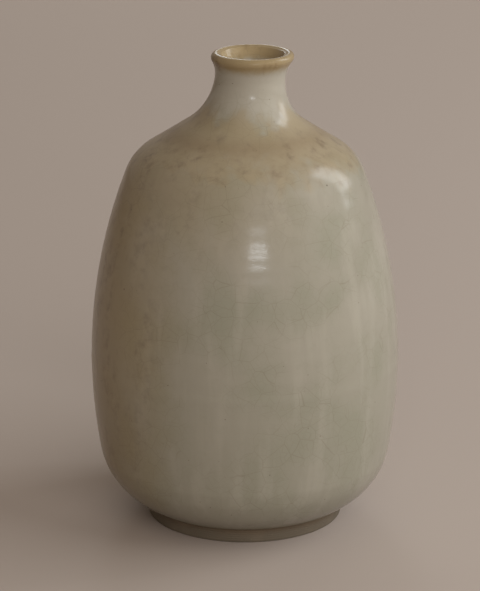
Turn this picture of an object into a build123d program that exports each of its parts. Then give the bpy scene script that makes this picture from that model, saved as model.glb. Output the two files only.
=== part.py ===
from build123d import *
from math import cos, radians, sin, sqrt
import os

# A tall stoneware bottle jar, thrown in sections that are luted together with slip and then glazed.
# Millimetres and degrees. The origin is on the ground, in the middle of the foot.
# +Z is up, and the neck leans to +X.
# The outline is the outer line of the clay. Glaze lies on that line, and the wall is measured in from it.

# Body
HEIGHT = 300.0            # ground to the top of the lip, glaze included
BELLY_RADIUS = 96.7       # clay at the widest line
BELLY_HEIGHT = 103.0      # the widest line, where the two bowls are luted
BOTTOM_BEND = 47.0        # turn under the body
SHOULDER_RADIUS = 76.1    # reach of the shoulder's turn
SHOULDER_BEND = 32.0      # turn at the shoulder
SHOULDER_SLOPE = 32.0     # rise of the shoulder towards the neck
WALL = 5.5
FLOOR = 8.0

# Neck
NECK_RADIUS = 21.6        # clay at the narrowest line
NECK_DROP = 15.5          # from the top of the lip down to the narrowest line
NECK_BEND = 36.0          # hollow curve from the shoulder to the neck
FLARE_BEND = 18.0         # hollow curve from the neck to the lip
NECK_LEAN = 5.0           # sideways shift of the lip from the body's axis

# Foot
FOOT_HEIGHT = 6.5         # ground to the flat of the underside
FOOT_RADIUS = 63.0        # outside of the ring where it meets the body
FOOT_WIDTH = 10.0         # ring's width where it meets the body
FOOT_BATTER = 1.5         # how far each side of the ring draws in towards the ground
FOOT_EDGE = 1.2           # rounding of the edges on the ground

# Luted joints
SLIP = 0.6                # thickness of a layer of slip
SEAM_GROOVE = 3.0         # depth of the groove in the lower bowl's rim, and of the wedge in it
COIL_BEND = 12.0          # curve of the coil pressed over the seam from inside
COIL_PROUD = 2.5          # how far that coil stands in from the wall

# Glaze
GLAZE = 0.8               # thickness of every coat
FOOT_MARGIN = 4.0         # bare clay between the foot ring and the body's coat
BASE_MARGIN = 2.0         # bare clay between the foot ring and the patch under the floor
SHOULDER_BAND = 20.0      # depth of the shoulder's own coat below the root of the neck
LIP_BAND = 9.0            # depth of the lip's own coat below the top of the lip

# Room past the outline for the shapes that only cut the section
PAST = 50.0

UP = Vector(0, 1)
OUT = Vector(1, 0)

# The section is drawn in the plane of radius and height. Each curve touches the next, so both share
# one outward normal where they meet, and moving the whole line in or out only changes their radii.

# The shoulder's straight slope leaves the neck's hollow curve at the root of the neck
slope_angle = radians(SHOULDER_SLOPE)
slope_down = Vector(cos(slope_angle), -sin(slope_angle))
slope_normal = Vector(sin(slope_angle), cos(slope_angle))
neck_height = HEIGHT - NECK_DROP
neck_centre = Vector(NECK_RADIUS + NECK_BEND, neck_height)
root_point = neck_centre - slope_normal * NECK_BEND
root_height = root_point.Y

# The shoulder's turn lies under that slope and touches it
below_root = root_point - slope_normal * SHOULDER_BEND
slope_run = (SHOULDER_RADIUS - SHOULDER_BEND - below_root.X) / slope_down.X
shoulder_centre = below_root + slope_down * slope_run

# The long curve up the side is upright at the widest line, and touches the shoulder's turn from outside
shoulder_inset = BELLY_RADIUS - shoulder_centre.X
shoulder_rise = shoulder_centre.Y - BELLY_HEIGHT
belly_excess = shoulder_inset ** 2 + shoulder_rise ** 2 - SHOULDER_BEND ** 2
belly_bend = belly_excess / (shoulder_inset - SHOULDER_BEND) / 2
belly_centre = Vector(BELLY_RADIUS - belly_bend, BELLY_HEIGHT)
shoulder_normal = (shoulder_centre - belly_centre).normalized()

# The turn under the body touches that curve and the flat of the underside
bottom_height = FOOT_HEIGHT + BOTTOM_BEND
bottom_reach = sqrt((belly_bend - BOTTOM_BEND) ** 2 - (BELLY_HEIGHT - bottom_height) ** 2)
bottom_centre = Vector(belly_centre.X + bottom_reach, bottom_height)
bottom_normal = (bottom_centre - belly_centre).normalized()

# The flare ends where a rim as round as the wall is thick reaches the full height
flare_centre = Vector(NECK_RADIUS + FLARE_BEND, neck_height)
lip_sine = (NECK_DROP - GLAZE - WALL / 2) / (FLARE_BEND + WALL / 2)
lip_normal = Vector(sqrt(1 - lip_sine ** 2), -lip_sine)
lip_centre = flare_centre - lip_normal * (FLARE_BEND + WALL / 2)
lip_upward = Vector(lip_sine, lip_normal.X)

floor_height = FOOT_HEIGHT + FLOOR
foot_inner_radius = FOOT_RADIUS - FOOT_WIDTH
shoulder_band_height = root_height - SHOULDER_BAND
lip_band_height = HEIGHT - LIP_BAND
far_radius = BELLY_RADIUS + PAST
far_height = HEIGHT + PAST


def floor_normal(out, level):
    """Outward normal where the bottom curve, moved out, crosses the level of the floor"""
    sine = (bottom_centre.Y - level) / (BOTTOM_BEND + out)
    return Vector(sqrt(1 - sine ** 2), -sine)


def arc(centre, radius, first_normal, last_normal):
    """Curve between two outward normals, hollow where its radius is negative"""
    middle_normal = (first_normal + last_normal).normalized()
    normals = (first_normal, middle_normal, last_normal)
    return ThreePointArc(*[centre + normal * radius for normal in normals])


def meridian(out, first_normal=-UP):
    """The clay's outer line moved out, from the turn under the body up to the lip"""
    bottom = arc(bottom_centre, BOTTOM_BEND + out, first_normal, bottom_normal)
    belly = arc(belly_centre, belly_bend + out, bottom_normal, shoulder_normal)
    shoulder = arc(shoulder_centre, SHOULDER_BEND + out, shoulder_normal, slope_normal)
    neck = arc(neck_centre, out - NECK_BEND, slope_normal, OUT)
    flare = arc(flare_centre, out - FLARE_BEND, OUT, lip_normal)
    slope = Line(shoulder @ 1, neck @ 0)
    return [bottom, belly, shoulder, slope, neck, flare]


def wall_face(thickness_out, thickness_in, floor):
    """Section between the line moved out and the line moved in, with a round rim, closed across the floor"""
    outer = meridian(thickness_out)
    inner = meridian(-thickness_in, floor_normal(-thickness_in, floor))
    rim_top = lip_centre + lip_upward * (thickness_out + thickness_in) / 2
    rim = ThreePointArc(outer[-1] @ 1, rim_top, inner[-1] @ 1)
    bottom = Polyline(outer[0] @ 0, (0, FOOT_HEIGHT - thickness_out), (0, floor), inner[0] @ 0)
    return make_face(outer + [rim] + inner + bottom.edges())


def inside_face(out, level, first_normal):
    """Section of what lies inside the line moved out, above the level and out through the mouth"""
    edges = meridian(out, first_normal)
    mouth = edges[-1] @ 1
    rest = Polyline(mouth, (mouth.X, far_height), (0, far_height), (0, level), edges[0] @ 0)
    return make_face(edges + rest.edges())


def band(low, high, inner=0.0, outer=far_radius):
    """Section between two heights and two radii"""
    return Pos((inner + outer) / 2, (low + high) / 2) * Rectangle(outer - inner, high - low)


def above_seam(height):
    """Section of all that lies above the waist joint, whose wedge points down in the middle of the wall"""
    wedge_radius = BELLY_RADIUS - WALL / 2
    points = [
        (0, height),
        (BELLY_RADIUS - WALL, height),
        (wedge_radius, height - SEAM_GROOVE),
        (BELLY_RADIUS, height),
        (far_radius, height),
        (far_radius, far_height),
        (0, far_height),
    ]
    return make_face(Polyline(*points, close=True))


def turned(section):
    """Solid of revolution of a section, about the jar's axis"""
    return revolve(Plane.XZ * section, Axis.Z)


def leaning(section):
    """The same, drawn sideways in step with its height above the root of the neck"""
    lean = NECK_LEAN / (HEIGHT - root_height)
    shear = Matrix([[1, 0, lean, -lean * root_height], [0, 1, 0, 0], [0, 0, 1, 0]])
    return turned(section).solid().transform_geometry(shear)


def foot_pieces():
    """The foot ring, drawn in towards the ground and cut to the underside, and the slip between them"""
    blank = make_face(
        Polyline(
            (foot_inner_radius, bottom_height),
            (foot_inner_radius, FOOT_HEIGHT),
            (foot_inner_radius + FOOT_BATTER, 0),
            (FOOT_RADIUS - FOOT_BATTER, 0),
            (FOOT_RADIUS, FOOT_HEIGHT),
            (FOOT_RADIUS, bottom_height),
            close=True,
        )
    )
    body = inside_face(0, FOOT_HEIGHT, -UP)
    body_and_slip = inside_face(SLIP, FOOT_HEIGHT - SLIP, -UP)
    ring = blank - body_and_slip
    ring = fillet(ring.vertices().group_by(Axis.Y)[0], FOOT_EDGE)
    slip = (blank & body_and_slip) - body
    return {"foot_ring": turned(ring), "foot_slip": turned(slip)}


def clay_pieces():
    """The two bowls and the neck, cut along their luted joints, with the slip between them"""
    above_lower = above_seam(BELLY_HEIGHT - SLIP / 2)
    above_upper = above_seam(BELLY_HEIGHT + SLIP / 2)
    above_shoulder = band(root_height - SLIP, far_height)
    above_root = band(root_height, far_height)
    return {
        "lower_bowl": turned(clay - above_lower),
        "waist_slip": turned((clay & above_lower) - above_upper),
        "upper_bowl": turned((clay & above_upper) - above_shoulder),
        "neck_slip": turned((clay & above_shoulder) - above_root),
        "neck_collar": leaning(clay & above_root),
    }


def glaze_pieces():
    """The coats, cut where their colour changes, and the coil that the inner coat covers"""
    coat = wall_face(GLAZE, WALL + GLAZE, floor_height + GLAZE) - clay
    inside = inside_face(-WALL / 2, floor_height - FLOOR / 2, -UP)
    outside_coat = coat - inside
    neck = outside_coat & band(root_height, lip_band_height)
    lip = (coat & band(root_height, far_height)) - neck
    body = outside_coat & band(0, shoulder_band_height)
    body -= band(0, bottom_height, 0, FOOT_RADIUS + FOOT_MARGIN)
    shoulder = outside_coat & band(shoulder_band_height, root_height)
    base = outside_coat & band(0, FOOT_HEIGHT, 0, foot_inner_radius - BASE_MARGIN)

    room = inside_face(-WALL, floor_height, floor_normal(-WALL, floor_height))
    coil_centre = Pos(BELLY_RADIUS - WALL + COIL_BEND - COIL_PROUD, BELLY_HEIGHT)
    coil = room & (coil_centre * Circle(COIL_BEND))
    coated_coil = room & (coil_centre * Circle(COIL_BEND + GLAZE))
    lining = (coat & inside & band(0, root_height)) + coated_coil - coil
    return {
        "seam_coil": turned(coil),
        "body_glaze": turned(body),
        "shoulder_glaze": turned(shoulder),
        "neck_glaze": leaning(neck),
        "lip_glaze": leaning(lip),
        "inner_glaze": turned(lining),
        "base_glaze": turned(base),
    }


clay = wall_face(0, WALL, floor_height)
pieces = foot_pieces() | clay_pieces() | glaze_pieces()

os.makedirs("parts", exist_ok=True)
for name, piece in pieces.items():
    export_step(piece, f"parts/{name}.step")
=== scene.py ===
from math import acos, asin, atan2, ceil, cos, pi, radians, sin, tan, tau
from typing import NamedTuple

import bpy
from bpy.props import FloatProperty, FloatVectorProperty, IntProperty, PointerProperty
from bpy.types import Operator, Panel, PropertyGroup
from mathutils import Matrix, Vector


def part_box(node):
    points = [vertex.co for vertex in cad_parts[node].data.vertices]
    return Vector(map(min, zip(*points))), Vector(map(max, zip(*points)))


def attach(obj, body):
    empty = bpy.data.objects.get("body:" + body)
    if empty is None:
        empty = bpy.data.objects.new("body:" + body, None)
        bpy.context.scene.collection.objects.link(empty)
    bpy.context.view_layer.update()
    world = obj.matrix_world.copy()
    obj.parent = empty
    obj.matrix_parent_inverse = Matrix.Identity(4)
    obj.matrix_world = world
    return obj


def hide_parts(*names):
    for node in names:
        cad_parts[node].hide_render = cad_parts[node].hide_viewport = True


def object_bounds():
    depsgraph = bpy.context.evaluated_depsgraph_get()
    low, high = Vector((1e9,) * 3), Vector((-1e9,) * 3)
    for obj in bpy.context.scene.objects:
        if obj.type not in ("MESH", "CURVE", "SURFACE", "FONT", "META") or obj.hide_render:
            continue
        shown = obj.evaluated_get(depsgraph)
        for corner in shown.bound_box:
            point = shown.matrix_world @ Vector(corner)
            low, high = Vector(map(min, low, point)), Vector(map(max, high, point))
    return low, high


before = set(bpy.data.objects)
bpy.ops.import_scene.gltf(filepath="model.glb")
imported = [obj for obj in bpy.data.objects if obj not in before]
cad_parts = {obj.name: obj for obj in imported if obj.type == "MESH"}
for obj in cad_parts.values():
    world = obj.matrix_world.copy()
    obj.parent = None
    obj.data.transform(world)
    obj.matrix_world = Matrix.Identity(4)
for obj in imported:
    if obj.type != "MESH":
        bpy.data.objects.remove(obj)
cad_low, cad_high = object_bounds()

bl_info = {
    "name": "Thrown bottle jar",
    "version": (1, 0, 0),
    "blender": (4, 5, 0),
    "location": "View3D > Sidebar > Jar",
    "description": "Glaze, bare clay, foot and studio for a thrown stoneware bottle jar",
    "category": "Object",
}

# Lengths are in metres throughout
BODY = "root"                    # the part's one body
SAME_PLACE = 1e-6                # points this close are one
CAP_ANGLE = radians(25)          # edges that turn more sharply than this stay crisp
START_SIZE = 0.01                # width of the plane that a piece starts from before it is merged to a point


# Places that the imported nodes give


def reach(node):
    """Outer radius of a node, across Y, which the lean of the neck leaves alone"""
    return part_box(node)[1].y


def bottom(node):
    """Height of the lowest point of a node"""
    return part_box(node)[0].z


def top(node):
    """Height of the highest point of a node"""
    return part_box(node)[1].z


GLAZE_LINE = bottom("body_glaze")
SHOULDER_EDGE = bottom("shoulder_glaze")
NECK_ROOT = bottom("neck_glaze")
LIP_EDGE = top("neck_glaze")


# Settings that a user may change


def length(name, default, description):
    return FloatProperty(name=name, default=default, description=description, unit="LENGTH", precision=5)


def angle(name, default, description):
    return FloatProperty(name=name, default=default, description=description, subtype="ANGLE")


def colour(name, default, description):
    """A colour in linear light"""
    return FloatVectorProperty(
        name=name, default=default, description=description, subtype="COLOR", min=0, max=1
    )


class JarSizes(PropertyGroup):
    """The clay's outer line, as it was thrown"""

    height: length("Height", top("lip_glaze"), "Ground to the top of the lip")
    belly_radius: length("Belly radius", reach("lower_bowl"), "Clay at the widest line")
    belly_height: length(
        "Belly height",
        (top("lower_bowl") + top("waist_slip")) / 2,
        "The widest line, where the bowls are luted",
    )
    underside: length("Underside", bottom("lower_bowl"), "Ground to the flat of the underside")
    bottom_bend: length("Bottom bend", 0.047, "Turn under the body")
    shoulder_radius: length("Shoulder radius", 0.0761, "Reach of the shoulder's turn")
    shoulder_bend: length("Shoulder bend", 0.032, "Turn at the shoulder")
    shoulder_slope: angle("Shoulder slope", radians(32), "Rise of the shoulder towards the neck")
    wall: length("Wall", 0.0055, "Thickness of the clay")
    neck_radius: length("Neck radius", 0.0216, "Clay at the narrowest line")
    neck_drop: length("Neck drop", 0.0155, "From the top of the lip down to the narrowest line")
    neck_bend: length("Neck bend", 0.036, "Hollow curve from the shoulder to the neck")
    flare_bend: length("Flare bend", 0.018, "Hollow curve from the neck to the lip")
    neck_lean: length("Neck lean", 0.005, "Sideways shift of the lip")


class GlazeSizes(PropertyGroup):
    """How the coats lie on the clay"""

    depth: length("Depth", reach("body_glaze") - reach("lower_bowl"), "Thickness of a coat")
    rim_thinning: length("Rim thinning", 0.0001, "Glaze that ran off the lip")
    root_pool: length("Root pool", 0.00025, "Glaze that gathered at the root of the neck")
    root_pool_reach: length("Root pool reach", 0.007, "How far that pool spreads up and down")
    roll: length("Edge roll", 0.00035, "Glaze that gathered above the bare foot")
    roll_reach: length("Edge roll reach", 0.006, "How far that roll spreads up the side")
    line_wave: length("Glaze line wave", 0.0014, "How far the lower edge wanders up and down")
    line_wave_reach: length("Glaze line wave reach", 0.022, "How far up the side that wandering is felt")
    ring_pitch: length("Ring pitch", 0.0095, "Spacing of the throwing rings")
    ring_depth: length("Ring depth", 0.00008, "Depth of the throwing rings")
    waist_swell: length("Waist swell", 0.00016, "Slight ridge over the luted waist")
    waist_reach: length("Waist reach", 0.007, "How far that ridge spreads up and down")
    wobble: length("Wobble", 0.00035, "Unevenness of the surface")
    wobble_width: length("Wobble width", 0.075, "Width of the uneven patches")
    belly_rows: length("Belly rows", 0.0016, "Spacing of the mesh up the side")
    fine_rows: length("Fine rows", 0.0008, "Spacing of the mesh on the shoulder, neck and lip")
    hidden_rows: length("Hidden rows", 0.008, "Spacing of the mesh against the clay")
    turns: IntProperty(name="Turns", default=240, description="Faces round the jar", min=24)


class FootSizes(PropertyGroup):
    """The turned foot, its slip and the patch of glaze under the floor"""

    radius: length("Radius", reach("foot_ring"), "Outside of the ring where it meets the body")
    width: length("Width", 0.010, "Width of the ring where it meets the body")
    batter: length("Batter", 0.0015, "How far each side draws in towards the ground")
    edge: length("Edge", 0.0012, "Rounding of the edges on the ground")
    groove: length("Groove", 0.00014, "Depth of the turning marks")
    groove_pitch: length("Groove pitch", 0.0017, "Spacing of the turning marks")
    slip: length("Slip", 0.0006, "Thickness of the slip under the body")
    bead: length("Bead", 0.0007, "How far the squeezed-out slip stands proud")
    patch_radius: length("Patch radius", reach("base_glaze"), "Glaze under the floor")
    rows: length("Rows", 0.00035, "Spacing of the mesh")
    turns: IntProperty(name="Turns", default=200, description="Faces round the foot", min=24)


class GlazeColours(PropertyGroup):
    """Colours of the glaze, from thick to thin"""

    celadon: colour("Celadon", (0.412, 0.374, 0.297), "The body's pale grey-green")
    deep: colour("Deep celadon", (0.360, 0.340, 0.256), "Where the glaze is thick")
    milk: colour("Milky", (0.485, 0.442, 0.360), "Where it clouds")
    # Ochre and rust also paint shade where the wash and the flash darken the side away from the lamps
    ochre: colour("Ochre", (0.400, 0.298, 0.160), "Where it is thin over iron-bearing clay")
    # Rust also paints the shade in the crease at the foot of the neck
    rust_and_shade: colour("Rust", (0.205, 0.125, 0.055), "On edges, where it is thinnest")
    iron: colour("Iron", (0.085, 0.052, 0.028), "Specks burnt through from the clay")
    craze: colour("Craze lines", (0.200, 0.160, 0.105), "Stain in the fine cracks")


class ClayColours(PropertyGroup):
    """Colours of the fired clay and slip"""

    clay: colour("Clay", (0.172, 0.140, 0.100), "Fired stoneware")
    flash: colour("Flash", (0.165, 0.112, 0.066), "Toasted by the flame beside the glaze")
    grog: colour("Grog", (0.340, 0.280, 0.210), "Pale grit in the clay")
    iron: colour("Iron", (0.070, 0.045, 0.030), "Dark grit in the clay")
    slip: colour("Slip", (0.240, 0.190, 0.135), "Fired slip in the joints")


class StageSettings(PropertyGroup):
    """Floor, surroundings and camera"""

    floor: colour("Floor", (0.520, 0.440, 0.385), "A plain warm floor")
    floor_bounce: colour("Floor bounce", (0.260, 0.205, 0.170), "What the floor throws back on the jar")
    floor_radius: length("Floor radius", 20.0, "Reach of the floor")
    backdrop: colour("Backdrop", (0.300, 0.250, 0.212), "What is seen past the floor")
    ambient: colour("Ambient", (0.170, 0.136, 0.098), "Light from all round")
    lens: FloatProperty(name="Lens", default=174.0, description="Focal length", unit="CAMERA")
    distance: length("Distance", 1.8, "Camera to the middle of the jar")
    elevation: angle("Elevation", radians(17), "How far the camera looks down")
    aim_right: length("Aim right", -0.00315, "Sideways shift of the camera's aim from the middle of the jar")
    aim_up: length("Aim up", -0.0069, "Upward shift of that aim in the picture")


# The clay's line, in the plane of radius and height

OUT = Vector((1, 0))
DOWN = Vector((0, -1))


def facing(turn):
    """Normal at an angle above the horizontal"""
    return Vector((cos(turn), sin(turn)))


def curve(centre, bend, first_turn, last_turn):
    """Stretch of the line that turns between two normals, hollow where its bend is negative"""

    def place(share):
        normal = facing(first_turn + (last_turn - first_turn) * share)
        return centre + normal * bend, normal

    return abs(bend * (last_turn - first_turn)), place


def straight(first, last, normal):
    """Stretch of the line with one normal"""

    def place(share):
        return first.lerp(last, share), normal

    return (last - first).length, place


class ClayLine:
    """Outer line of the clay from the glaze line to the lip, as curves and a slope that touch each other"""

    def __init__(self, sizes, glaze):
        # The shoulder's straight slope leaves the neck's hollow curve at the root of the neck
        upright = 0.0
        slope = pi / 2 - sizes.shoulder_slope
        neck_height = sizes.height - sizes.neck_drop
        neck_centre = Vector((sizes.neck_radius + sizes.neck_bend, neck_height))
        root = neck_centre - facing(slope) * sizes.neck_bend
        self.root_height = root.y

        # The shoulder's turn lies under that slope and touches it
        down_slope = facing(slope - pi / 2)
        below_root = root - facing(slope) * sizes.shoulder_bend
        slope_run = (sizes.shoulder_radius - sizes.shoulder_bend - below_root.x) / down_slope.x
        shoulder_centre = below_root + down_slope * slope_run

        # The long curve up the side is upright at the widest line, and touches the shoulder's turn
        inset = sizes.belly_radius - shoulder_centre.x
        rise = shoulder_centre.y - sizes.belly_height
        belly_bend = (inset**2 + rise**2 - sizes.shoulder_bend**2) / (inset - sizes.shoulder_bend) / 2
        belly_centre = Vector((sizes.belly_radius - belly_bend, sizes.belly_height))
        shoulder = asin(rise / (belly_bend - sizes.shoulder_bend))

        # The turn under the body touches that curve and the flat of the underside
        self.bottom_bend = sizes.bottom_bend
        bottom_height = sizes.underside + sizes.bottom_bend
        under = asin((bottom_height - belly_centre.y) / (belly_bend - sizes.bottom_bend))
        bottom_reach = (belly_bend - sizes.bottom_bend) * cos(under)
        self.bottom_centre = Vector((belly_centre.x + bottom_reach, bottom_height))
        self.glaze_line = asin((GLAZE_LINE - bottom_height) / (sizes.bottom_bend + glaze.depth))

        # The flare ends where a rim as round as the wall is thick reaches the full height
        self.half_wall = sizes.wall / 2
        rim_bend = sizes.flare_bend + self.half_wall
        flare_centre = Vector((sizes.neck_radius + sizes.flare_bend, neck_height))
        self.lip = -asin((sizes.neck_drop - glaze.depth - self.half_wall) / rim_bend)
        self.lip_centre = flare_centre - facing(self.lip) * rim_bend

        self.stretches = [
            curve(self.bottom_centre, sizes.bottom_bend, self.glaze_line, under),
            curve(belly_centre, belly_bend, under, shoulder),
            curve(shoulder_centre, sizes.shoulder_bend, shoulder, slope),
            straight(shoulder_centre + facing(slope) * sizes.shoulder_bend, root, facing(slope)),
            curve(neck_centre, -sizes.neck_bend, slope, upright),
            curve(flare_centre, -sizes.flare_bend, upright, self.lip),
        ]

    def moved_out(self, depth, spacing):
        """Points of the line, moved out by the depth at their height"""
        points = []
        for run, place in self.stretches:
            steps = ceil(run / spacing)
            places = [place(step / steps) for step in range(steps)]
            points += [on_clay + normal * depth(on_clay.y) for on_clay, normal in places]
        on_clay, normal = self.stretches[-1][1](1)
        return points + [on_clay + normal * depth(on_clay.y)]

    def rim(self, depth, spacing):
        """Points over the lip from outside to inside, without the two ends"""
        bend = self.half_wall + depth
        steps = ceil(pi * bend / spacing)
        return [self.lip_centre + facing(self.lip + pi * step / steps) * bend for step in range(1, steps)]

    def under_body(self, turns, gap=0.0):
        """Points of the turn under the body at some angles, moved out by a gap"""
        return [self.bottom_centre + facing(turn) * (self.bottom_bend + gap) for turn in turns]


def at_height(points, height):
    """Where a rising line crosses a height"""
    for first, last in zip(points, points[1:]):
        if first.y <= height <= last.y:
            return first.lerp(last, (height - first.y) / (last.y - first.y))
    raise ValueError(f"the line does not cross height {height}")


def between(points, low, high):
    """The stretch of a rising line between two heights"""
    inside = [point for point in points if low + SAME_PLACE < point.y < high - SAME_PLACE]
    return [at_height(points, low)] + inside + [at_height(points, high)]


def rounded_end(base, normal, along, depth, bulge, steps=10):
    """Rolled edge of a layer, from its base to its skin"""
    turns = [pi * step / steps for step in range(steps + 1)]
    return [base + normal * depth * (1 - cos(turn)) / 2 + along * bulge * sin(turn) for turn in turns]


def rounded_corner(before, corner, after, radius, steps=6):
    """Points round a corner, as an arc that touches both sides"""
    back = (before - corner).normalized()
    ahead = (after - corner).normalized()
    half = back.angle(ahead) / 2
    centre = corner + (back + ahead).normalized() * radius / sin(half)
    first = corner + back * radius / tan(half) - centre
    last = corner + ahead * radius / tan(half) - centre
    blends = [first.lerp(last, step / steps).normalized() for step in range(steps + 1)]
    return [centre + blend * radius for blend in blends]


def divided(points, spacing):
    """The same line with points no further apart than the spacing"""
    found = []
    for first, last in zip(points, points[1:]):
        steps = max(1, ceil((last - first).length / spacing))
        found += [first.lerp(last, step / steps) for step in range(steps)]
    return found + [points[-1]]


def hump(value, middle, width):
    """A smooth rise to one at the middle"""
    return max(0.0, cos(min(1.0, abs(value - middle) / width) * pi / 2)) ** 2


# The glaze's own line

# Throwing rings drift in their spacing, and fade in and out as they rise
RING_DRIFT = 1.3                 # most of the drift, in radians
RING_DRIFT_LENGTH = 0.047
RING_FADE = 0.35                 # half of the share that fades
RING_FADE_LENGTH = 0.093

# Waves of the glaze line: how many go round the jar, how strong they are, and where they start
LINE_WAVES = ((3, 1.0, 0.7), (5, 0.7, 2.1), (11, 0.5, 0.0))


class GlazeDepth:
    """How thick the outer coat is at a height, with throwing rings and places where it ran or gathered"""

    def __init__(self, sizes, glaze, line):
        self.sizes = sizes
        self.glaze = glaze
        self.line = line

    def __call__(self, height):
        glaze = self.glaze
        drift = RING_DRIFT * sin(height * tau / RING_DRIFT_LENGTH)
        strength = 1 - RING_FADE + RING_FADE * sin(height * tau / RING_FADE_LENGTH)
        ring = sin(height * tau / glaze.ring_pitch + drift) * strength - 1
        depth = glaze.depth - glaze.wobble / 2 + ring * glaze.ring_depth / 2
        depth -= glaze.waist_swell * (1 - hump(height, self.sizes.belly_height, glaze.waist_reach))
        depth += glaze.root_pool * hump(height, self.line.root_height, glaze.root_pool_reach)
        depth += glaze.roll * hump(height, GLAZE_LINE, glaze.roll_reach)
        depth -= glaze.rim_thinning * hump(height, self.sizes.height, self.sizes.neck_drop)
        return depth


def stray(turn):
    """How far the glaze line strays at a turn round the jar, as a share of the most"""
    waves = [strength * sin(count * turn + start) for count, strength, start in LINE_WAVES]
    return sum(waves) / sum(strength for count, strength, start in LINE_WAVES)


# The foot's own line

SEAT_STEPS = 12                  # points across the ring where it meets the body
GROUND_MARKS = 0.6               # turning marks on the ground, as a share of those on the sides


def foot_turns(line, foot):
    """Angles of the turn under the body, from the inside to the outside of the foot ring"""
    sides = (foot.radius - foot.width, foot.radius)
    inside, outside = [-acos((side - line.bottom_centre.x) / line.bottom_bend) for side in sides]
    return [inside + (outside - inside) * step / SEAT_STEPS for step in range(SEAT_STEPS + 1)]


def foot_skin(outside, inside, foot):
    """Sides and ground face of the foot ring, from its meeting with the body outside to that inside"""
    outer_ground = OUT * (foot.radius - foot.batter)
    inner_ground = OUT * (foot.radius - foot.width + foot.batter)
    skin = [outside]
    skin += rounded_corner(outside, outer_ground, inner_ground, foot.edge)
    skin += rounded_corner(outer_ground, inner_ground, inside, foot.edge)
    return divided(skin + [inside], foot.rows)


def turning_marks(skin, foot):
    """The same skin with shallow grooves between its ends"""
    marked = [skin[0]]
    for before, point, after in zip(skin, skin[1:], skin[2:]):
        along = (after - before).normalized()
        inward = Vector((along.y, -along.x))
        mark = (1 + sin((point.x * GROUND_MARKS + point.y) * tau / foot.groove_pitch)) / 2
        marked.append(point + inward * mark * foot.groove)
    return marked + [skin[-1]]


def slip_edge(line, foot, turn, direction):
    """Rolled edge of the slip on one side of the foot ring, from the body to the ring"""
    base = line.under_body([turn])[0]
    along = facing(turn + pi / 2) * direction
    return rounded_end(base, facing(turn), along, foot.slip, foot.bead)


# Modelling


def start_piece(name):
    """A new object in edit mode whose mesh is one vertex at the origin"""
    bpy.ops.object.select_all(action="DESELECT")
    bpy.ops.mesh.primitive_plane_add(size=START_SIZE)
    piece = bpy.context.object
    piece.name = name
    piece.data.name = name
    bpy.ops.object.mode_set(mode="EDIT")
    bpy.ops.mesh.select_all(action="SELECT")
    bpy.ops.mesh.merge(type="CENTER")
    return piece


def draw_outline(name, outline):
    """A new object whose mesh is an outline, drawn point by point in the plane of X and Z"""
    piece = start_piece(name)
    places = [Vector((point.x, 0, point.y)) for point in outline]
    bpy.ops.transform.translate(value=places[0])
    for first, last in zip(places, places[1:]):
        bpy.ops.mesh.extrude_vertices_move(TRANSFORM_OT_translate={"value": last - first})
    bpy.ops.object.mode_set(mode="OBJECT")
    return piece


def throw(name, skin, back, turns, ring=True):
    """A ring, or a disc whose outline ends at the axis: the visible skin and its back, drawn and spun"""
    on_skin = list(range(len(skin)))
    outline = skin + back
    if ring:
        on_skin.append(len(outline))
        outline.append(skin[0])
    piece = draw_outline(name, outline)
    group = piece.vertex_groups.new(name="skin")
    group.add(on_skin, 1.0, "REPLACE")
    bpy.ops.object.mode_set(mode="EDIT")
    bpy.ops.mesh.select_all(action="SELECT")
    bpy.ops.mesh.remove_doubles(threshold=SAME_PLACE)
    bpy.ops.mesh.spin(steps=turns, angle=tau, center=(0, 0, 0), axis=(0, 0, 1))
    bpy.ops.mesh.select_all(action="SELECT")
    bpy.ops.mesh.remove_doubles(threshold=SAME_PLACE)
    bpy.ops.mesh.normals_make_consistent(inside=False)
    bpy.ops.object.mode_set(mode="OBJECT")
    return piece


def apply_displace(piece, **settings):
    """Displaces the active piece and applies it"""
    modifier = piece.modifiers.new("displace", "DISPLACE")
    for name, value in settings.items():
        setattr(modifier, name, value)
    bpy.ops.object.modifier_apply(modifier=modifier.name)


def make_uneven(piece, glaze):
    """Soft dents and swells in the skin, the same in every piece that they cross"""
    patches = bpy.data.textures.get("uneven") or bpy.data.textures.new("uneven", "CLOUDS")
    patches.cloud_type = "COLOR"
    patches.noise_scale = glaze.wobble_width
    patches.noise_depth = 1
    apply_displace(
        piece,
        texture=patches,
        texture_coords="LOCAL",
        direction="RGB_TO_XYZ",
        vertex_group="skin",
        strength=glaze.wobble,
        mid_level=0.5,
    )


def make_lean(piece, sizes, root_height):
    """Draws the piece sideways in step with its height above the root of the neck"""
    group = piece.vertex_groups.new(name="lean")
    for vertex in piece.data.vertices:
        share = (vertex.co.z - root_height) / (sizes.height - root_height)
        group.add([vertex.index], max(0.0, min(1.0, share)), "REPLACE")
    apply_displace(piece, direction="X", vertex_group="lean", strength=sizes.neck_lean, mid_level=0.0)


def wave_glaze_line(piece, line, glaze):
    """Slides the lower edge of the coat along the turn under the body, up here and down there"""
    reach_turn = glaze.line_wave_reach / line.bottom_bend
    wave_turn = glaze.line_wave / line.bottom_bend
    for vertex in piece.data.vertices:
        out = Vector((vertex.co.x, vertex.co.y))
        arm = Vector((out.length, vertex.co.z)) - line.bottom_centre
        turn = atan2(arm.y, arm.x)
        past_line = turn - line.glaze_line
        if past_line < reach_turn:
            slide = stray(atan2(out.y, out.x)) * wave_turn * hump(past_line, 0, reach_turn)
            slid = line.bottom_centre + facing(turn + slide) * arm.length
            vertex.co.xy = out.normalized() * slid.x
            vertex.co.z = slid.y


def finish_piece(piece, material, slot, *nodes):
    """Smooths and paints a new piece, and sets it in the place of its nodes"""
    piece.vertex_groups.clear()
    bpy.ops.object.shade_smooth_by_angle(angle=CAP_ANGLE)
    piece.data.materials.append(material)
    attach(piece, BODY)
    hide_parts(*nodes)


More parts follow.
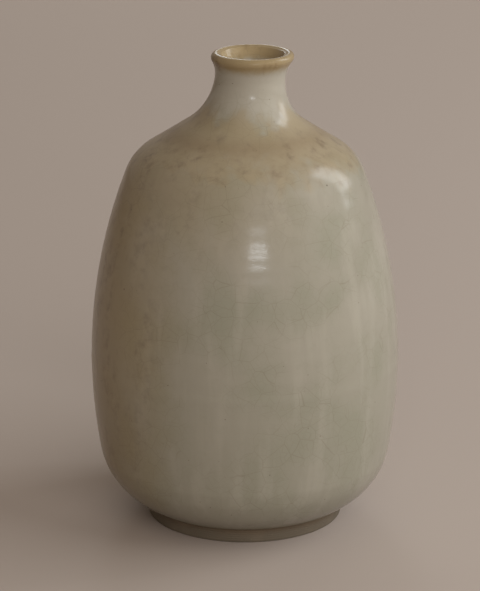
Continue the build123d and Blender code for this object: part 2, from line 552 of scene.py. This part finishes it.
# Nodes of materials and surroundings

# A Mix node has sockets for every kind of value, and these are the ones for colours
MIX_SHARE, MIX_FIRST, MIX_SECOND, MIX_RESULT = 0, 6, 7, 2

SUDDEN = 0.01                    # width of a step that is all but a jump
SPECK_EDGE = 0.4                 # soft edge of a speck, as a share of the largest radius


def solid(tint):
    """A colour property as a socket takes it"""
    return (*tint, 1.0)


class Bench:
    """A node tree, with the sums that finishes and surroundings share"""

    def __init__(self, tree):
        self.nodes = tree.nodes
        self.links = tree.links

    def feed(self, socket, value):
        """Links a value that varies, and sets one that doesn't"""
        if isinstance(value, bpy.types.NodeSocket):
            self.links.new(value, socket)
        else:
            socket.default_value = value

    def node(self, kind, inputs=None, **settings):
        """A new node with its inputs fed and its settings made"""
        node = self.nodes.new(kind)
        for name, value in settings.items():
            setattr(node, name, value)
        for name, value in (inputs or {}).items():
            self.feed(node.inputs[name], value)
        return node

    def maths(self, operation, first, second=0.0):
        """A value worked out from one or two others"""
        return self.node("ShaderNodeMath", {0: first, 1: second}, operation=operation).outputs[0]

    def times(self, first, second):
        return self.maths("MULTIPLY", first, second)

    def plus(self, first, second):
        return self.maths("ADD", first, second)

    def less(self, first, second):
        return self.maths("SUBTRACT", first, second)

    def most(self, first, second):
        return self.maths("MAXIMUM", first, second)

    def blend(self, *parts, base=0.0):
        """A base to which each pattern is added in its share"""
        total = base
        for pattern, share in parts:
            total = self.plus(total, self.times(pattern, share))
        return total

    def step(self, value, low, high):
        """Zero below, one above, and smooth between"""
        ends = {"Value": value, "From Min": low, "From Max": high}
        return self.node("ShaderNodeMapRange", ends, interpolation_type="SMOOTHSTEP").outputs["Result"]

    def band(self, value, middle, width):
        """One at the middle, falling to zero at the width"""
        away = self.maths("ABSOLUTE", self.less(value, middle))
        return self.less(1.0, self.step(away, 0.0, width))

    def mix(self, share, first, second):
        """One colour painted over another"""
        ends = {MIX_SHARE: share, MIX_FIRST: first, MIX_SECOND: second}
        return self.node("ShaderNodeMix", ends, data_type="RGBA").outputs[MIX_RESULT]

    def over(self, tone, tint, where, share=1.0):
        """A tone with a colour property painted over it where a mask says, up to a share"""
        return self.mix(self.times(where, share), tone, solid(tint))

    def seen(self):
        """One for what the camera sees, straight, mirrored or through glass, and zero for other light"""
        ray = self.node("ShaderNodeLightPath").outputs
        return self.most(self.most(ray["Is Camera Ray"], ray["Is Glossy Ray"]), ray["Is Transmission Ray"])


class Finish(Bench):
    """A material, with the patterns that it is made of. Their scales are in repeats to a metre"""

    def __init__(self, name):
        self.material = bpy.data.materials.new(name)
        self.material.use_nodes = True
        super().__init__(self.material.node_tree)
        self.shader = self.nodes["Principled BSDF"]
        self.place = self.node("ShaderNodeTexCoord").outputs["Object"]
        axes = self.node("ShaderNodeSeparateXYZ", {"Vector": self.place}).outputs
        self.x, self.z = axes["X"], axes["Z"]

    def drawn_out(self, scale):
        """Coordinates with a scale for each axis"""
        return self.node("ShaderNodeMapping", {"Vector": self.place, "Scale": scale}).outputs["Vector"]

    def bent(self, scale, amount):
        """Coordinates pushed about by a soft pattern"""
        push = self.node("ShaderNodeTexNoise", {"Vector": self.place, "Scale": scale}).outputs["Color"]
        ends = {0: push, 1: (amount,) * 3, 2: self.place}
        return self.node("ShaderNodeVectorMath", ends, operation="MULTIPLY_ADD").outputs[0]

    def noise(self, scale, detail=2.0, roughness=0.5, place=None):
        """A cloudy pattern between zero and one"""
        ends = {"Vector": place or self.place, "Scale": scale, "Detail": detail, "Roughness": roughness}
        return self.node("ShaderNodeTexNoise", ends).outputs["Fac"]

    def swing(self, pattern, amount):
        """A pattern turned into a shift to either side"""
        return self.times(self.less(pattern, 0.5), amount)

    def dots(self, scale, radius, share):
        """Round specks in some of the cells of a pattern"""
        cells = self.node("ShaderNodeTexVoronoi", {"Vector": self.place, "Scale": scale})
        chance = self.node("ShaderNodeSeparateColor", {"Color": cells.outputs["Color"]}).outputs
        size = self.times(chance["Green"], radius * scale)
        inside = self.less(size, cells.outputs["Distance"])
        speck = self.step(inside, 0.0, radius * scale * SPECK_EDGE)
        return self.times(speck, self.step(chance["Red"], 1.0 - share, 1.0 - share + SUDDEN))

    def cracks(self, scale, width, place):
        """Thin lines between the cells of a pattern"""
        ends = {"Vector": place, "Scale": scale}
        cells = self.node("ShaderNodeTexVoronoi", ends, feature="DISTANCE_TO_EDGE")
        return self.less(1.0, self.step(cells.outputs["Distance"], 0.0, width * scale))

    def rings(self, scale, distortion):
        """Marks round the axis, as from a turning tool"""
        ends = {"Vector": self.place, "Scale": scale, "Distortion": distortion}
        marks = self.node("ShaderNodeTexWave", ends, wave_type="RINGS", rings_direction="Z")
        return marks.outputs["Fac"]

    def bump(self, height, distance, strength, under=None):
        """Normals of a skin that a pattern raises, over another skin where one is given"""
        ends = {"Height": height, "Distance": distance, "Strength": strength}
        if under:
            ends["Normal"] = under
        return self.node("ShaderNodeBump", ends).outputs["Normal"]

    def paint(self, base, roughness, normal):
        """Feeds the shader, and hands over the material"""
        self.feed(self.shader.inputs["Base Color"], base)
        self.feed(self.shader.inputs["Roughness"], roughness)
        self.feed(self.shader.inputs["Normal"], normal)
        return self.material


# Finishes

RUN_SCALE = (75.0, 75.0, 9.0)    # runs are long down the side
FINE_CRAZE = 0.6                 # how strong the finer cracks are beside the wider ones
FLOOR_ROUGHNESS = 0.85

# Heights between which the finish changes
POOLED = (0.02, 0.19)
WASH_START = (SHOULDER_EDGE - 0.070, SHOULDER_EDGE)
OCHRE_START = (SHOULDER_EDGE - 0.012, SHOULDER_EDGE + 0.010)
OCHRE_END = (NECK_ROOT + 0.003, NECK_ROOT + 0.016)
MILKY_NECK = (NECK_ROOT + 0.002, NECK_ROOT + 0.016)
LIP_START = (LIP_EDGE - 0.004, LIP_EDGE + 0.003)
TOASTED = (0.004, 0.011)

# Painted shade: a darker band just below the foot of the neck, where the crease between neck and shoulder
# lies in shade
CREASE_SHADE_HEIGHT = NECK_ROOT - 0.0045
CREASE_SHADE_WIDTH = 0.0065

# Distances between which the thin glaze comes in on the side away from the lean. That is also the side away
# from the lamps, where the wash and the flash are partly painted shade
WASH_AND_SHADE_SIDE = (-0.070, 0.060)
FLASH_AND_SHADE_SIDE = (0.040, 0.110)

# How thin the glaze is at most, where one is bare ochre. In the wash and the flash this also paints shade on
# the side away from the lamps
OCHRE_SHARE = 0.62
WASH_AND_SHADE_SHARE = 0.50
FLASH_AND_SHADE_SHARE = 0.75
INNER_SHARE = 0.5

NECK_CLIMB = 0.35                # how steeply the ochre climbs the neck on the side away from the lean
FLASH_AND_SHADE_RISE = 0.10                # how much the flash, partly painted shade, widens with height


def climbing(finish, height):
    """A height that falls away on the side away from the lean, so that the ochre climbs higher there"""
    away_from_lean = finish.maths("MINIMUM", finish.x, 0.0)
    return finish.plus(height, finish.times(away_from_lean, NECK_CLIMB))


def outer_thinness_and_shade(finish, drifts, runs, mottle):
    """Thin over the shoulder, on the lip, and in a wash and a flash on the side away from the lean, where
    the wash and the flash are partly painted shade of the side away from the lamps
    """
    frayed = finish.plus(finish.z, finish.swing(mottle, amount=0.005))
    swings = finish.plus(finish.swing(drifts, amount=0.030), finish.swing(runs, amount=0.040))
    wandering = finish.plus(frayed, swings)
    away_from_lean = finish.times(finish.x, -1.0)

    shoulder = finish.times(finish.step(wandering, *OCHRE_START), OCHRE_SHARE)
    wash = finish.times(finish.step(wandering, *WASH_START), WASH_AND_SHADE_SHARE)
    # Painted shade: the wash is kept to the side away from the lamps
    wash = finish.times(wash, finish.step(away_from_lean, *WASH_AND_SHADE_SIDE))
    below_neck = finish.less(1.0, finish.step(climbing(finish, wandering), *OCHRE_END))
    shoulder = finish.times(finish.most(shoulder, wash), below_neck)

    lip = finish.step(frayed, *LIP_START)
    # The flash is partly a flashed side of the glaze and partly painted shade of the side away from the
    # lamps
    side = finish.plus(away_from_lean, finish.times(finish.z, FLASH_AND_SHADE_RISE))
    side = finish.plus(side, finish.swing(drifts, amount=0.04))
    flash = finish.times(finish.step(side, *FLASH_AND_SHADE_SIDE), FLASH_AND_SHADE_SHARE)
    return finish.most(finish.most(shoulder, lip), flash)


def inner_thinness(finish, drifts, runs, mottle):
    """Thin only in small patches"""
    swings = finish.plus(finish.swing(runs, amount=0.4), finish.swing(mottle, amount=0.2))
    return finish.times(finish.step(finish.plus(drifts, swings), low=0.60, high=0.80), INNER_SHARE)


def glaze_material(name, colours, thinness):
    """A glossy celadon, deeper where it gathered, breaking to ochre where it is thin"""
    finish = Finish(name)
    drifts = finish.noise(scale=26.0, detail=3.0)
    mottle = finish.noise(scale=140.0, detail=4.0, roughness=0.6)
    grain = finish.noise(scale=900.0)
    runs = finish.noise(scale=1.0, detail=3.0, roughness=0.55, place=finish.drawn_out(RUN_SCALE))

    pooled = finish.less(1.0, finish.step(finish.z, *POOLED))
    tone = finish.over(solid(colours.celadon), colours.deep, finish.step(drifts, low=0.40, high=0.72))
    tone = finish.over(tone, colours.deep, pooled, share=0.45)
    tone = finish.over(tone, colours.milk, finish.step(runs, low=0.46, high=0.72), share=0.45)
    tone = finish.over(tone, colours.deep, finish.step(mottle, low=0.52, high=0.78), share=0.35)

    # The outer thinness also carries the painted shade of the wash and the flash
    thin = thinness(finish, drifts, runs, mottle)
    ochre = solid(colours.ochre)
    broken = finish.over(ochre, colours.rust_and_shade, finish.step(mottle, low=0.40, high=0.75))
    broken = finish.mix(finish.step(runs, low=0.40, high=0.66), ochre, broken)
    tone = finish.mix(thin, tone, broken)

    neck = finish.step(climbing(finish, finish.z), *MILKY_NECK)
    tone = finish.over(tone, colours.milk, finish.times(neck, finish.less(1.0, thin)), share=0.8)
    # Painted shade of the crease at the foot of the neck, in rust
    burnt = finish.plus(finish.z, finish.swing(mottle, amount=0.006))
    tone = finish.over(tone, colours.rust_and_shade, finish.band(burnt, CREASE_SHADE_HEIGHT, CREASE_SHADE_WIDTH), share=0.26)

    bent = finish.bent(scale=55.0, amount=0.0035)
    wide_craze = finish.cracks(scale=80.0, width=0.00022, place=bent)
    fine_craze = finish.cracks(scale=190.0, width=0.00016, place=bent)
    craze = finish.most(wide_craze, finish.times(fine_craze, FINE_CRAZE))
    craze = finish.times(craze, finish.step(drifts, low=0.36, high=0.62))
    tone = finish.over(tone, colours.craze, craze, share=0.30)
    large_specks = finish.dots(scale=95.0, radius=0.00075, share=0.35)
    small_specks = finish.dots(scale=260.0, radius=0.0004, share=0.22)
    specks = finish.most(large_specks, small_specks)
    tone = finish.over(tone, colours.iron, specks, share=0.75)

    roughness = finish.blend((mottle, 0.10), (thin, 0.10), base=0.11)
    skin = finish.bump(finish.blend((mottle, 0.6), (grain, 0.10)), distance=0.00035, strength=0.35)
    pits = finish.blend((craze, -0.3), (specks, -1.0))
    skin = finish.bump(pits, distance=0.00004, strength=0.3, under=skin)
    return finish.paint(tone, roughness, skin)


def clay_material(name, colours):
    """Fired stoneware: matt and gritty, with turning marks, toasted beside the glaze"""
    finish = Finish(name)
    clouds = finish.noise(scale=60.0, detail=4.0)
    grit = finish.noise(scale=1400.0, detail=3.0, roughness=0.7)
    pale = finish.dots(scale=700.0, radius=0.00035, share=0.4)
    dark = finish.dots(scale=520.0, radius=0.0004, share=0.25)

    near_glaze = finish.step(finish.plus(finish.z, finish.swing(clouds, amount=0.008)), *TOASTED)
    tone = finish.over(solid(colours.clay), colours.flash, near_glaze, share=0.8)
    tone = finish.over(tone, colours.slip, finish.step(clouds, low=0.45, high=0.75), share=0.4)
    tone = finish.over(tone, colours.grog, pale, share=0.6)
    tone = finish.over(tone, colours.iron, dark, share=0.8)

    skin = finish.bump(finish.rings(scale=180.0, distortion=1.5), distance=0.0001, strength=0.5)
    gritty = finish.blend((grit, 1.0), (pale, 0.8))
    skin = finish.bump(gritty, distance=0.00025, strength=0.6, under=skin)
    return finish.paint(tone, finish.blend((grit, 0.2), base=0.70), skin)


def slip_material(name, colours):
    """Fired slip: smooth, matt and clouded"""
    finish = Finish(name)
    clouds = finish.noise(scale=160.0, detail=4.0)
    grit = finish.noise(scale=2200.0)
    dark = finish.dots(scale=900.0, radius=0.0003, share=0.2)

    tone = finish.over(solid(colours.slip), colours.clay, finish.step(clouds, low=0.35, high=0.7))
    tone = finish.over(tone, colours.iron, dark, share=0.7)
    skin = finish.bump(finish.blend((clouds, 1.0), (grit, 0.3)), distance=0.00015, strength=0.5)
    return finish.paint(tone, finish.blend((grit, 0.2), base=0.62), skin)


def floor_material(name, settings):
    """A plain matt floor, pale where it is seen, that throws little light back on the jar"""
    finish = Finish(name)
    tone = finish.over(solid(settings.floor_bounce), settings.floor, finish.seen())
    skin = finish.bump(finish.noise(scale=700.0), distance=0.0002, strength=0.1)
    return finish.paint(tone, FLOOR_ROUGHNESS, skin)


# Coats


class GlazeCoats:
    """The outer coats, with the lines and the material that they share"""

    def __init__(self, scene):
        self.sizes = scene.jar_sizes
        self.glaze = scene.jar_glaze
        self.line = ClayLine(self.sizes, self.glaze)
        self.depth = GlazeDepth(self.sizes, self.glaze, self.line)
        self.skin = self.line.moved_out(self.depth, self.glaze.fine_rows)
        self.clay = self.line.moved_out(lambda height: 0.0, self.glaze.hidden_rows)
        self.material = glaze_material("celadon_glaze", scene.jar_glaze_colours, outer_thinness_and_shade)

    def body(self):
        """From the rolled edge above the bare foot, sunk a little into the clay, up to the shoulder edge"""
        line, glaze = self.line, self.glaze
        edge = facing(line.glaze_line)
        down = facing(line.glaze_line - pi / 2)
        edge_depth = self.depth(self.clay[0].y) + glaze.wobble
        roll = rounded_end(self.clay[0] - edge * glaze.wobble, edge, down, edge_depth, glaze.depth / 2)
        side = line.moved_out(self.depth, glaze.belly_rows)
        skin = roll[:-1] + between(side, side[0].y, SHOULDER_EDGE)
        back = between(self.clay, self.clay[0].y, SHOULDER_EDGE)[::-1]
        coat = throw("body_coat", skin, back, glaze.turns)
        wave_glaze_line(coat, line, glaze)
        make_uneven(coat, glaze)
        finish_piece(coat, self.material, "celadon_glaze", "body_glaze")

    def ring(self, name, low, high):
        """A coat between two heights"""
        skin = between(self.skin, low, high)
        back = between(self.clay, low, high)[::-1]
        return throw(name, skin, back, self.glaze.turns)

    def shoulder(self):
        coat = self.ring("shoulder_coat", SHOULDER_EDGE, NECK_ROOT)
        make_uneven(coat, self.glaze)
        finish_piece(coat, self.material, "ochre_glaze", "shoulder_glaze")

    def neck(self):
        coat = self.ring("neck_coat", NECK_ROOT, LIP_EDGE)
        make_lean(coat, self.sizes, self.line.root_height)
        make_uneven(coat, self.glaze)
        finish_piece(coat, self.material, "celadon_glaze", "neck_glaze")

    def lip(self):
        """Over the lip, and down the throat to the root of the neck"""
        sizes, glaze, line = self.sizes, self.glaze, self.line
        throat = line.moved_out(lambda height: -sizes.wall - glaze.depth, glaze.fine_rows)
        bore = line.moved_out(lambda height: -sizes.wall, glaze.hidden_rows)
        skin = between(self.skin, LIP_EDGE, self.skin[-1].y)
        skin += line.rim(self.depth(sizes.height), glaze.fine_rows)
        skin += between(throat, NECK_ROOT, throat[-1].y)[::-1]
        back = between(bore, NECK_ROOT, bore[-1].y)
        back += line.rim(0.0, glaze.fine_rows)[::-1]
        back += between(self.clay, LIP_EDGE, self.clay[-1].y)[::-1]
        coat = throw("lip_coat", skin, back, glaze.turns)
        make_lean(coat, sizes, line.root_height)
        make_uneven(coat, glaze)
        finish_piece(coat, self.material, "ochre_glaze", "lip_glaze")


# Stage

COOL = (0.95, 1.0, 1.04)
NEUTRAL = (1.0, 1.0, 1.0)
WARM = (1.0, 0.97, 0.96)
FLOOR_SIDES = 128


class Lamp(NamedTuple):
    """A soft rectangular lamp that faces the jar"""

    name: str
    bearing: float               # degrees to the right of the camera's side
    rise: float                  # degrees above the middle of the jar
    distance: float
    size: tuple
    share: float                 # one lights a surface that faces the lamp as its colour is
    tint: tuple
    mirrored: bool               # whether it shows in the glaze


LAMPS = (
    Lamp("window", 110, 30, distance=2.4, size=(0.8, 1.7), share=0.23, tint=COOL, mirrored=True),
    Lamp("glow", 77, 28, distance=3.3, size=(2.7, 2.1), share=0.48, tint=COOL, mirrored=False),
    Lamp("catch", 10.5, 16, distance=3.5, size=(0.84, 0.15), share=0.043, tint=COOL, mirrored=True),
    Lamp("fill", 16, 24, distance=3.6, size=(2.7, 2.1), share=0.37, tint=WARM, mirrored=False),
    Lamp("back", 172, 26, distance=5.0, size=(4.0, 3.0), share=0.19, tint=NEUTRAL, mirrored=False),
    Lamp("rear", 184, 24, distance=3.5, size=(0.6, 0.9), share=0.05, tint=COOL, mirrored=True),
)


def add_floor(settings):
    """A wide round floor under the jar"""
    bpy.ops.object.select_all(action="DESELECT")
    bpy.ops.mesh.primitive_circle_add(
        vertices=FLOOR_SIDES, radius=settings.floor_radius, fill_type="NGON"
    )
    floor = bpy.context.object
    floor.name = "floor"
    floor.data.materials.append(floor_material("floor", settings))


def add_lamp(middle, lamp):
    """Sets a lamp in its place, with the power that gives its share of light at its distance"""
    turn, lift = radians(lamp.bearing), radians(lamp.rise)
    away = Vector((sin(turn) * cos(lift), -cos(turn) * cos(lift), sin(lift)))
    facing_jar = away.to_track_quat("Z", "Y").to_euler()
    bpy.ops.object.light_add(type="AREA", location=middle + away * lamp.distance, rotation=facing_jar)
    light = bpy.context.object
    light.name = lamp.name
    light.visible_glossy = lamp.mirrored
    light.data.shape = "RECTANGLE"
    light.data.size, light.data.size_y = lamp.size
    light.data.color = lamp.tint
    light.data.energy = (pi * lamp.distance) ** 2 * lamp.share


def surroundings(settings):
    """An even light from all round, and a paler backdrop where it is seen"""
    world = bpy.data.worlds.new("surroundings")
    world.use_nodes = True
    bench = Bench(world.node_tree)
    tint = bench.over(solid(settings.ambient), settings.backdrop, bench.seen())
    bench.feed(bench.nodes["Background"].inputs["Color"], tint)
    return world


def add_camera(middle, settings):
    """A camera in front of the jar that looks down on it"""
    up = Vector((0, sin(settings.elevation), cos(settings.elevation)))
    back = Vector((0, -cos(settings.elevation), sin(settings.elevation)))
    aim = middle + Vector((settings.aim_right, 0, 0)) + up * settings.aim_up
    place = aim + back * settings.distance
    bpy.ops.object.camera_add(location=place, rotation=(pi / 2 - settings.elevation, 0, 0))
    camera = bpy.context.object
    camera.data.lens = settings.lens
    return camera


# Operators


class JAR_OT_glaze_coats(Operator):
    """Coats the body, shoulder, neck and lip with glaze over the packed clay"""

    bl_idname = "jar.glaze_coats"
    bl_label = "Glaze coats"

    def execute(self, context):
        coats = GlazeCoats(context.scene)
        coats.body()
        coats.shoulder()
        coats.neck()
        coats.lip()
        return {"FINISHED"}


class JAR_OT_foot_ring(Operator):
    """Turns the foot ring, with the marks of the tool"""

    bl_idname = "jar.foot_ring"
    bl_label = "Foot ring"

    def execute(self, context):
        foot = context.scene.jar_foot
        line = ClayLine(context.scene.jar_sizes, context.scene.jar_glaze)
        seat = line.under_body(foot_turns(line, foot), foot.slip)
        skin = turning_marks(foot_skin(seat[-1], seat[0], foot), foot)
        ring = throw("turned_foot_ring", skin, seat[1:-1], foot.turns)
        material = clay_material("foot_clay", context.scene.jar_clay_colours)
        finish_piece(ring, material, "bare_clay", "foot_ring")
        return {"FINISHED"}


class JAR_OT_foot_slip(Operator):
    """Squeezes a bead of slip out of both sides of the foot ring's joint"""

    bl_idname = "jar.foot_slip"
    bl_label = "Foot slip"

    def execute(self, context):
        foot = context.scene.jar_foot
        line = ClayLine(context.scene.jar_sizes, context.scene.jar_glaze)
        turns = foot_turns(line, foot)
        outer_edge = slip_edge(line, foot, turns[-1], 1)
        inner_edge = slip_edge(line, foot, turns[0], -1)
        skin = line.under_body(turns)[:-1] + outer_edge
        back = line.under_body(turns, foot.slip)[1:-1][::-1] + inner_edge[::-1][:-1]
        bead = throw("foot_slip_bead", skin, back, foot.turns)
        material = slip_material("squeezed_slip", context.scene.jar_clay_colours)
        finish_piece(bead, material, "slip", "foot_slip")
        return {"FINISHED"}


class JAR_OT_base_patch(Operator):
    """Lays the patch of glaze under the floor, inside the foot ring"""

    bl_idname = "jar.base_patch"
    bl_label = "Base patch"

    def execute(self, context):
        sizes, glaze, foot = context.scene.jar_sizes, context.scene.jar_glaze, context.scene.jar_foot
        centre = Vector((0, sizes.underside))
        rim = centre + OUT * (foot.patch_radius - glaze.depth)
        edge = rounded_end(rim, DOWN, OUT, glaze.depth, glaze.depth)
        flat = divided([centre + DOWN * glaze.depth, edge[-1]], glaze.hidden_rows)
        patch = throw("base_glaze_patch", flat + edge[::-1][1:], [centre], foot.turns, ring=False)
        material = glaze_material("base_celadon", context.scene.jar_glaze_colours, inner_thinness)
        finish_piece(patch, material, "celadon_glaze", "base_glaze")
        return {"FINISHED"}


class JAR_OT_packed_pieces(Operator):
    """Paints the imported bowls, neck, coil and slip, and the coat inside"""

    bl_idname = "jar.packed_pieces"
    bl_label = "Packed pieces"

    def execute(self, context):
        clay = clay_material("thrown_clay", context.scene.jar_clay_colours)
        slip = slip_material("luting_slip", context.scene.jar_clay_colours)
        inside = glaze_material("inner_celadon", context.scene.jar_glaze_colours, inner_thinness)
        finishes = {
            "lower_bowl": clay,
            "upper_bowl": clay,
            "neck_collar": clay,
            "seam_coil": clay,
            "waist_slip": slip,
            "neck_slip": slip,
            "inner_glaze": inside,
        }
        for name, material in finishes.items():
            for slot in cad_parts[name].material_slots:
                slot.material = material
        return {"FINISHED"}


class JAR_OT_stage(Operator):
    """Sets the floor, lamps, surroundings and camera"""

    bl_idname = "jar.stage"
    bl_label = "Stage"

    def execute(self, context):
        settings = context.scene.jar_stage
        middle = (cad_low + cad_high) / 2
        add_floor(settings)
        for lamp in LAMPS:
            add_lamp(middle, lamp)
        context.scene.world = surroundings(settings)
        context.scene.camera = add_camera(middle, settings)
        context.scene.view_settings.view_transform = "Standard"
        return {"FINISHED"}


class JAR_PT_panel(Panel):
    """Lists the jar's operators and settings"""

    bl_label = "Thrown bottle jar"
    bl_idname = "JAR_PT_panel"
    bl_space_type = "VIEW_3D"
    bl_region_type = "UI"
    bl_category = "Jar"

    def draw(self, context):
        for operator in OPERATORS:
            self.layout.operator(operator.bl_idname)
        for name in GROUPS:
            box = self.layout.box()
            group = getattr(context.scene, name)
            for setting in group.bl_rna.properties:
                if not setting.is_readonly and setting.identifier != "name":
                    box.prop(group, setting.identifier)


GROUPS = {
    "jar_sizes": JarSizes,
    "jar_glaze": GlazeSizes,
    "jar_foot": FootSizes,
    "jar_glaze_colours": GlazeColours,
    "jar_clay_colours": ClayColours,
    "jar_stage": StageSettings,
}
OPERATORS = (
    JAR_OT_glaze_coats,
    JAR_OT_foot_ring,
    JAR_OT_foot_slip,
    JAR_OT_base_patch,
    JAR_OT_packed_pieces,
    JAR_OT_stage,
)


def register():
    for kind in (*GROUPS.values(), *OPERATORS, JAR_PT_panel):
        bpy.utils.register_class(kind)
    for name, group in GROUPS.items():
        setattr(bpy.types.Scene, name, PointerProperty(type=group))


def unregister():
    for name in GROUPS:
        delattr(bpy.types.Scene, name)
    for kind in (JAR_PT_panel, *OPERATORS, *GROUPS.values()):
        bpy.utils.unregister_class(kind)


def main():
    register()
    bpy.ops.jar.glaze_coats()
    bpy.ops.jar.foot_ring()
    bpy.ops.jar.foot_slip()
    bpy.ops.jar.base_patch()
    bpy.ops.jar.packed_pieces()
    bpy.ops.jar.stage()


if __name__ == "__main__":
    main()
